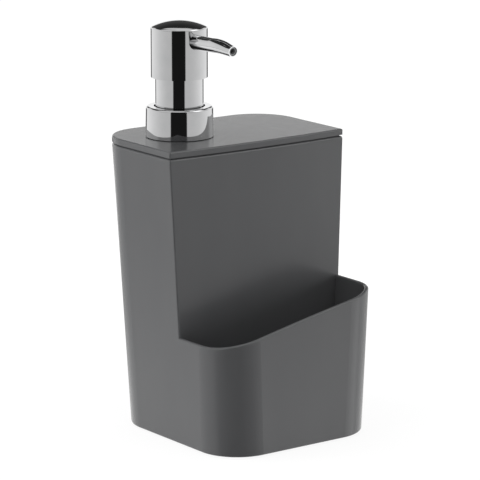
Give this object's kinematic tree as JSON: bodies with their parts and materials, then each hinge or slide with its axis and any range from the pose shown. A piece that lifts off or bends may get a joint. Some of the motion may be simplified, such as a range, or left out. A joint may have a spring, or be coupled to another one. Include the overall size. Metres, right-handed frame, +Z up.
{
  "type": "soap pump caddy",
  "caption": "Tapered soap tank with a sponge tray on its front, a lift-off lid and a bright metal lotion pump with a domed push head and a bent spout.",
  "frame": {"origin": "centre of the object's bounding box, on the surface that the feet stand on", "axes": "+X to the right along the front, +Y to the back, +Z up; the tray is at the front (-Y)"},
  "size_m": [0.1, 0.098, 0.1934],
  "materials": {
    "grey_plastic": "satin moulded plastic",
    "chrome": "bright polished",
    "dark_plastic": "satin",
    "natural_plastic": "semi-gloss natural plastic",
    "tube_plastic": "smooth translucent plastic",
    "seal_rubber": "soft seal",
    "foot_rubber": "soft matt",
    "spring_steel": "drawn stainless wire",
    "valve_steel": "polished stainless"
  },
  "bodies": {
    "base": {"body_shell": "grey_plastic", "foot_front_left": "foot_rubber", "foot_front_right": "foot_rubber", "foot_back_left": "foot_rubber", "foot_back_right": "foot_rubber"},
    "lid": {"lid": "grey_plastic"},
    "pump": {"neck_gasket": "seal_rubber", "pump_housing": "natural_plastic", "chaplet": "dark_plastic", "sleeve": "chrome", "inlet_ball_valve": "valve_steel", "dip_tube": "tube_plastic", "return_spring": "spring_steel"},
    "collar": {"collar_shell": "chrome", "collar_insert": "dark_plastic"},
    "plunger": {"piston": "tube_plastic"},
    "head": {"head_shell": "chrome", "head_core": "dark_plastic", "spout": "chrome", "spout_liner": "tube_plastic", "stem": "natural_plastic", "piston_retainer": "natural_plastic", "outlet_ball_valve": "valve_steel"}
  },
  "joints": [
    {"name": "lid_lift", "type": "slide", "parent": "base", "child": "lid", "axis": [0, 0, 1], "range_m": [0, 0.135]},
    {"name": "pump_rise", "type": "slide", "parent": "lid", "child": "pump", "axis": [0, 0, 1], "range_m": [0, 0.00636]},
    {"name": "collar_turn", "type": "hinge", "parent": "pump", "child": "collar", "pos_m": [-0.0225, 0.0189, 0.1465], "axis": [0, 0, 1], "range_deg": [0, 540]},
    {"name": "head_press", "type": "slide", "parent": "pump", "child": "plunger", "axis": [0, 0, -1], "range_m": [0, 0.012], "stiffness_N_per_m": 600, "springref_m": -0.008, "deforming": ["return_spring"]},
    {"name": "head_swivel", "type": "hinge", "parent": "plunger", "child": "head", "pos_m": [-0.0225, 0.0189, 0.18], "axis": [0, 0, 1], "continuous": true}
  ],
  "couplings": [
    {"joint": "pump_rise", "follows": "collar_turn", "m_per_rad": 0.00067322}
  ]
}
